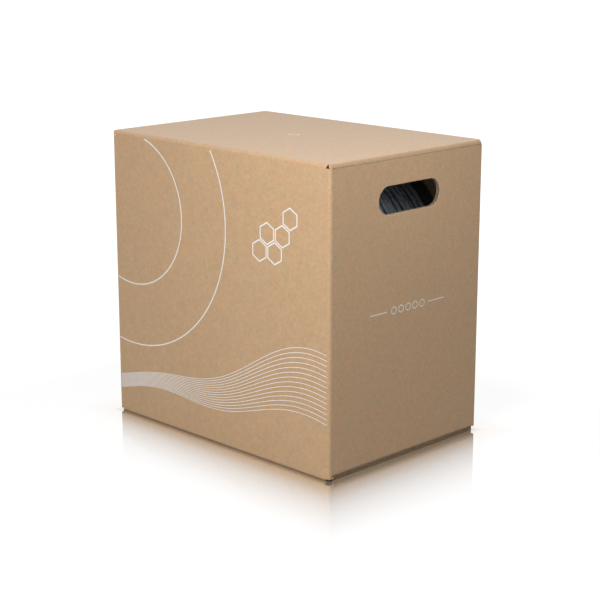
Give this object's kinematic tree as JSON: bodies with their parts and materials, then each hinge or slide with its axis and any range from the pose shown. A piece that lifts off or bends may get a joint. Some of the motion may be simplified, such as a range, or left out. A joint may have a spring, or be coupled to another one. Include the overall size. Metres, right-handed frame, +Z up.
{
  "type": "cable spool box",
  "caption": "Corrugated carton with hand holes and hinged top flaps, holding a reel wound with network cable that turns on an axle in a padded cradle.",
  "frame": {"origin": "middle of the carton's underside", "axes": "+Z up, +X along the carton's length to the right end wall, -Y towards the long front wall that carries the cover flap"},
  "size_m": [0.366, 0.256, 0.355],
  "materials": {
    "kraft_board": "brown kraft liner",
    "cradle_board": "plain brown board",
    "reel_plastic": "matt moulded, black",
    "cup_plastic": "matt moulded, grey",
    "axle_plastic": "extruded pipe, light grey",
    "outlet_plastic": "satin moulded, black",
    "cable_jacket": "smooth sheath, dark blue-grey",
    "fastener_steel": "zinc plated"
  },
  "bodies": {
    "carton": {"front_wall": "kraft_board", "back_wall": "kraft_board", "right_end_wall": "kraft_board", "left_end_wall": "kraft_board", "glue_tab": "kraft_board", "bottom_cover_flap": "kraft_board", "bottom_back_flap": "kraft_board", "bottom_dust_flap_right": "kraft_board", "bottom_dust_flap_left": "kraft_board", "outlet_ring": "outlet_plastic", "cradle_pad_front": "cradle_board", "cradle_pad_back": "cradle_board", "axle_cup_front": "cup_plastic", "axle_cup_back": "cup_plastic", "axle_tube": "axle_plastic"},
    "top_cover": {"top_cover_flap": "kraft_board"},
    "top_back": {"top_back_flap": "kraft_board"},
    "top_dust_right": {"top_dust_flap_right": "kraft_board"},
    "top_dust_left": {"top_dust_flap_left": "kraft_board"},
    "reel": {"reel_flange_front": "reel_plastic", "reel_flange_back": "reel_plastic", "reel_drum": "reel_plastic", "cable_pack": "cable_jacket", "tie_bolts": "fastener_steel", "tie_nuts": "fastener_steel", "tie_washers": "fastener_steel"}
  },
  "joints": [
    {"name": "cover_fold", "type": "hinge", "parent": "carton", "child": "top_cover", "pos_m": [0, -0.1255, 0.3525], "axis": [1, 0, 0], "range_deg": [0, 178]},
    {"name": "back_flap_fold", "type": "hinge", "parent": "carton", "child": "top_back", "pos_m": [0, 0.1255, 0.3472], "axis": [-1, 0, 0], "range_deg": [0, 89]},
    {"name": "right_dust_flap_fold", "type": "hinge", "parent": "carton", "child": "top_dust_right", "pos_m": [0.1805, 0, 0.3472], "axis": [0, 1, 0], "range_deg": [0, 89]},
    {"name": "left_dust_flap_fold", "type": "hinge", "parent": "carton", "child": "top_dust_left", "pos_m": [-0.1805, 0, 0.3472], "axis": [0, -1, 0], "range_deg": [0, 89]},
    {"name": "reel_spin", "type": "hinge", "parent": "carton", "child": "reel", "pos_m": [0, 0, 0.17735], "axis": [0, 1, 0], "continuous": true}
  ],
  "couplings": [
    {"joint": "back_flap_fold", "follows": "cover_fold", "ratio": 0.5},
    {"joint": "right_dust_flap_fold", "follows": "cover_fold", "ratio": 0.5},
    {"joint": "left_dust_flap_fold", "follows": "cover_fold", "ratio": 0.5}
  ]
}
